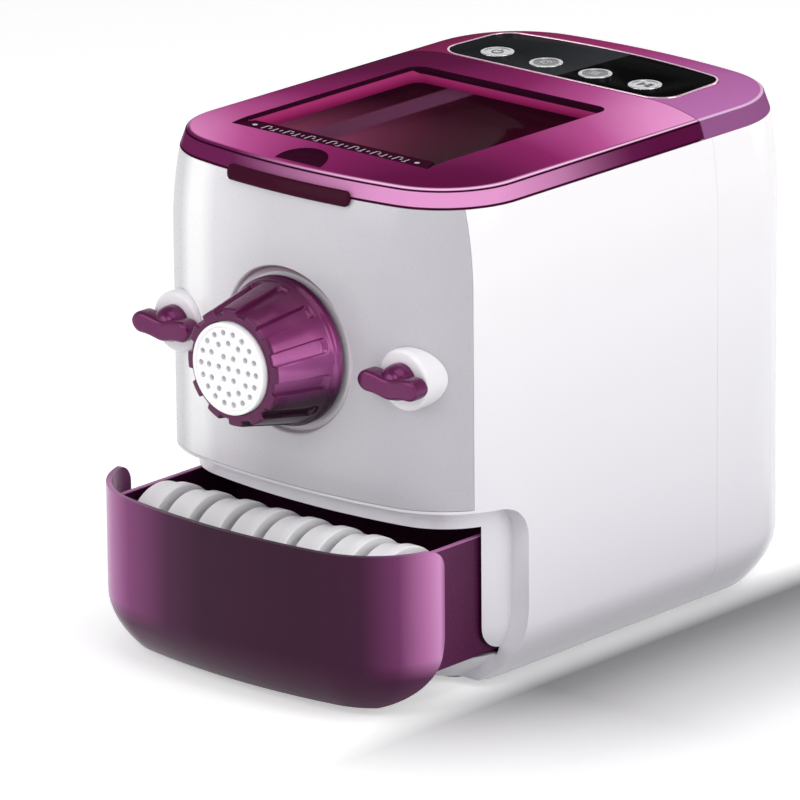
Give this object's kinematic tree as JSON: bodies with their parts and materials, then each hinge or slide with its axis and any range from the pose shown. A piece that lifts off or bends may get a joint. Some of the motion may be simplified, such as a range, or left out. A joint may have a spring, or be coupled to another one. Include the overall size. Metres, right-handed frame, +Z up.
{
  "type": "electric pasta maker",
  "caption": "Countertop electric pasta maker: mixing chamber with lid, front extruder with locking nut and shaping die, and a drawer of spare dies.",
  "frame": {"origin": "on the surface the machine stands on, under the middle of its outline with the drawer standing open as at rest", "axes": "+Z up, -Y towards the front with the extruder and the drawer, +X to the right seen from the front"},
  "size_m": [0.232, 0.3733, 0.2867],
  "materials": {
    "white_gloss": "glossy",
    "panel_pearl": "satin",
    "cap_violet": "metallic gloss",
    "lid_plum": "translucent gloss",
    "window_plum": "clear tinted",
    "grip_dark": "glossy",
    "seal_rubber": "soft matte",
    "black_glass": "mirror gloss",
    "trim_rose": "bright",
    "button_silver": "satin metallic",
    "button_dark": "glossy",
    "knob_plum": "metallic gloss",
    "die_white": "satin",
    "drawer_plum": "metallic gloss",
    "inner_grey": "matte",
    "foot_rubber": "matte",
    "bright_steel": "brushed",
    "cast_alloy": "cast",
    "gear_nylon": "matte",
    "board_green": "matte",
    "motor_paint": "painted",
    "black_plastic": "matte"
  },
  "bodies": {
    "base": {"housing": "white_gloss", "rear_shell": "white_gloss", "front_panel": "panel_pearl", "base_plate": "inner_grey", "feet": "foot_rubber", "top_deck": "white_gloss", "front_bulkhead": "cast_alloy", "control_cap": "cap_violet", "control_glass": "black_glass", "panel_trim": "trim_rose", "control_board": "board_green", "hinge_pins": "bright_steel", "lid_switch": "black_plastic", "mixing_bowl": "inner_grey", "extrusion_barrel": "cast_alloy", "studs": "bright_steel", "drawer_runners": "inner_grey", "gearbox_case": "cast_alloy", "gearbox_cover": "cast_alloy", "shaft_bearings": "bright_steel", "shaft_seal": "black_plastic", "idler_pin": "bright_steel", "motor": "motor_paint", "power_board": "board_green", "power_inlet": "black_plastic", "base_screws": "bright_steel", "gearbox_screws": "bright_steel"},
    "lid": {"lid_frame": "lid_plum", "lid_window": "window_plum", "lid_seal": "seal_rubber", "lid_grip": "grip_dark"},
    "drawer": {"drawer_front": "drawer_plum", "drawer_tray": "drawer_plum", "die_rack": "inner_grey", "spare_die_1": "die_white", "spare_die_2": "die_white", "spare_die_3": "die_white", "spare_die_4": "die_white", "spare_die_5": "die_white", "spare_die_6": "die_white", "spare_die_7": "die_white", "spare_die_8": "die_white"},
    "mixer": {"mixing_screw": "gear_nylon", "output_shaft": "bright_steel", "output_gear": "gear_nylon"},
    "idler": {"idler_gear": "gear_nylon"},
    "rotor": {"motor_shaft": "bright_steel", "motor_pinion": "bright_steel", "cooling_fan": "black_plastic"},
    "die": {"shaping_die": "die_white"},
    "nut": {"locking_nut": "knob_plum"},
    "left_washer_body": {"left_washer": "white_gloss"},
    "left_knob": {"left_wing_knob": "knob_plum"},
    "right_washer_body": {"right_washer": "white_gloss"},
    "right_knob": {"right_wing_knob": "knob_plum"},
    "key_1": {"button_1": "button_silver"},
    "key_2": {"button_2": "button_dark"},
    "key_3": {"button_3": "button_dark"},
    "key_4": {"button_4": "button_silver"}
  },
  "joints": [
    {"name": "lid_hinge", "type": "hinge", "parent": "base", "child": "lid", "pos_m": [0, 0.079, 0.279], "axis": [-1, 0, 0], "range_deg": [0, 75]},
    {"name": "drawer_slide", "type": "slide", "parent": "base", "child": "drawer", "axis": [0, -1, 0], "range_m": [-0.057, 0.035]},
    {"name": "mixer_spin", "type": "hinge", "parent": "base", "child": "mixer", "pos_m": [0, 0, 0.18], "axis": [0, -1, 0], "continuous": true},
    {"name": "idler_spin", "type": "hinge", "parent": "base", "child": "idler", "pos_m": [0, 0, 0.116], "axis": [0, -1, 0], "continuous": true},
    {"name": "rotor_spin", "type": "hinge", "parent": "base", "child": "rotor", "pos_m": [0, 0, 0.06975], "axis": [0, -1, 0], "continuous": true},
    {"name": "die_slide", "type": "slide", "parent": "base", "child": "die", "axis": [0, -1, 0], "range_m": [0, 0.008]},
    {"name": "nut_turn", "type": "hinge", "parent": "die", "child": "nut", "pos_m": [0, 0, 0.18], "axis": [0, -1, 0], "range_deg": [0, 720]},
    {"name": "left_washer_slide", "type": "slide", "parent": "base", "child": "left_washer_body", "axis": [0, -1, 0], "range_m": [0, 0.003]},
    {"name": "left_knob_turn", "type": "hinge", "parent": "left_washer_body", "child": "left_knob", "pos_m": [-0.0816, 0, 0.179], "axis": [0, -1, 0], "range_deg": [0, 720]},
    {"name": "right_washer_slide", "type": "slide", "parent": "base", "child": "right_washer_body", "axis": [0, -1, 0], "range_m": [0, 0.003]},
    {"name": "right_knob_turn", "type": "hinge", "parent": "right_washer_body", "child": "right_knob", "pos_m": [0.0816, 0, 0.179], "axis": [0, -1, 0], "range_deg": [0, 720]},
    {"name": "key_1_press", "type": "slide", "parent": "base", "child": "key_1", "axis": [0, 0, -1], "range_m": [0, 0.001], "stiffness_N_per_m": 400, "springref_m": -0.0006},
    {"name": "key_2_press", "type": "slide", "parent": "base", "child": "key_2", "axis": [0, 0, -1], "range_m": [0, 0.001], "stiffness_N_per_m": 400, "springref_m": -0.0006},
    {"name": "key_3_press", "type": "slide", "parent": "base", "child": "key_3", "axis": [0, 0, -1], "range_m": [0, 0.001], "stiffness_N_per_m": 400, "springref_m": -0.0006},
    {"name": "key_4_press", "type": "slide", "parent": "base", "child": "key_4", "axis": [0, 0, -1], "range_m": [0, 0.001], "stiffness_N_per_m": 400, "springref_m": -0.0006}
  ],
  "couplings": [
    {"joint": "idler_spin", "follows": "mixer_spin", "ratio": -3},
    {"joint": "rotor_spin", "follows": "mixer_spin", "ratio": 12.857},
    {"joint": "die_slide", "follows": "nut_turn", "m_per_rad": 0.000636},
    {"joint": "left_knob_turn", "follows": "left_washer_slide", "rad_per_m": 4188.8},
    {"joint": "right_knob_turn", "follows": "right_washer_slide", "rad_per_m": 4188.8}
  ]
}
